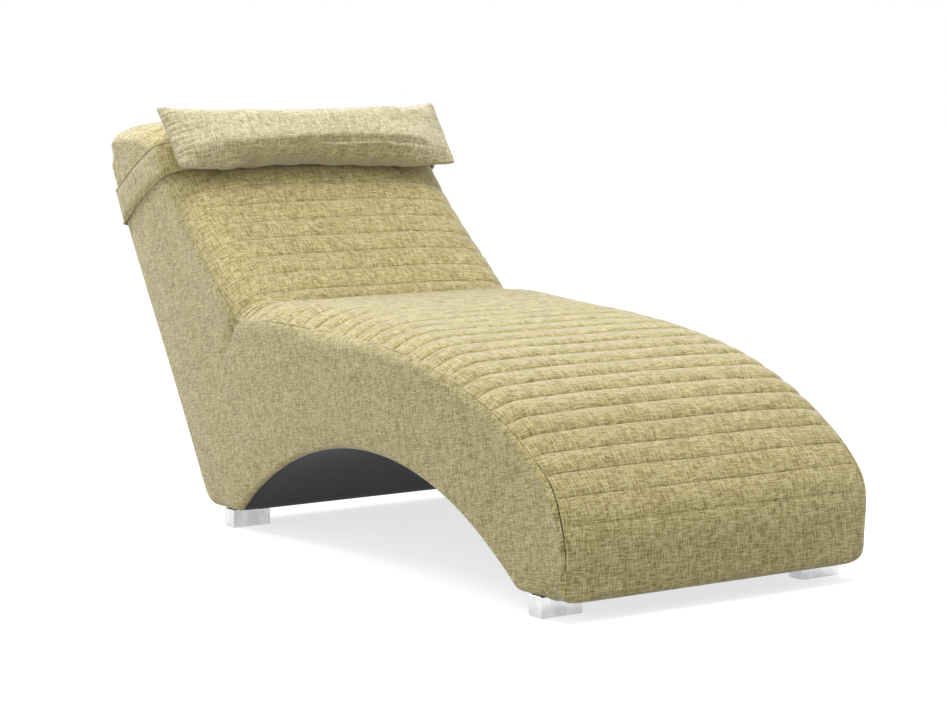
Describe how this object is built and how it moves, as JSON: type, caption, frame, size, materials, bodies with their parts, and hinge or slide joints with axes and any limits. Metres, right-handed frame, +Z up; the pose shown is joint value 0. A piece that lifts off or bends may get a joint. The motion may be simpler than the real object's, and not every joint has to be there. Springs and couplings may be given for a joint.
{
  "type": "chaise longue",
  "caption": "Upholstered chaise longue with a cross-quilted seat and reclined back, arched underside, block feet and a neck pillow on a fabric band.",
  "frame": {"origin": "on the floor under the middle of the whole length and width", "axes": "+Z up, +Y towards the head end, -Y towards the foot end, +X to the right when the foot end is seen from the front"},
  "size_m": [0.64, 1.6664, 0.8216],
  "materials": {
    "woven_fabric": "coarse woven, khaki to straw",
    "black_lining": "black lining with a slight sheen",
    "polished_feet": "polished",
    "fixings": "plain steel",
    "foam": "open-cell upholstery foam",
    "webbing": "elastic webbing",
    "hardboard": "hardboard",
    "timber": "bare timber and plywood"
  },
  "bodies": {
    "root": {"side_board_left": "timber", "side_board_right": "timber", "side_cover_left": "woven_fabric", "side_cover_right": "woven_fabric", "foot_end_rail": "timber", "seat_front_rail": "timber", "seat_rail": "timber", "back_rail": "timber", "head_rail": "timber", "rear_rail_upper": "timber", "rear_rail_middle": "timber", "arch_rail": "timber", "seat_batten_left": "timber", "seat_batten_right": "timber", "seat_webbing_1": "webbing", "seat_webbing_2": "webbing", "seat_webbing_3": "webbing", "seat_webbing_4": "webbing", "seat_webbing_5": "webbing", "seat_webbing_6": "webbing", "seat_webbing_7": "webbing", "seat_webbing_8": "webbing", "seat_webbing_9": "webbing", "seat_foam": "foam", "back_batten_left": "timber", "back_batten_right": "timber", "back_webbing_1": "webbing", "back_webbing_2": "webbing", "back_webbing_3": "webbing", "back_webbing_4": "webbing", "back_webbing_5": "webbing", "back_foam": "foam", "rear_cover": "woven_fabric", "rear_board": "hardboard", "arch_lining": "black_lining", "arch_board": "hardboard", "seat_cover": "woven_fabric", "back_cover": "woven_fabric", "front_base_cloth": "black_lining", "front_base_board": "timber", "front_foot_left": "polished_feet", "front_stud_left": "fixings", "front_nut_left": "fixings", "front_foot_right": "polished_feet", "front_stud_right": "fixings", "front_nut_right": "fixings", "rear_base_cloth": "black_lining", "rear_base_board": "timber", "rear_foot_left": "polished_feet", "rear_stud_left": "fixings", "rear_nut_left": "fixings", "rear_foot_right": "polished_feet", "rear_stud_right": "fixings", "rear_nut_right": "fixings"},
    "headrest": {"neck_pillow": "woven_fabric", "neck_band": "woven_fabric"}
  },
  "joints": [
    {"name": "headrest_slide", "type": "slide", "parent": "root", "child": "headrest", "axis": [0, 0.6157, 0.788], "range_m": [0, 0.28]}
  ]
}
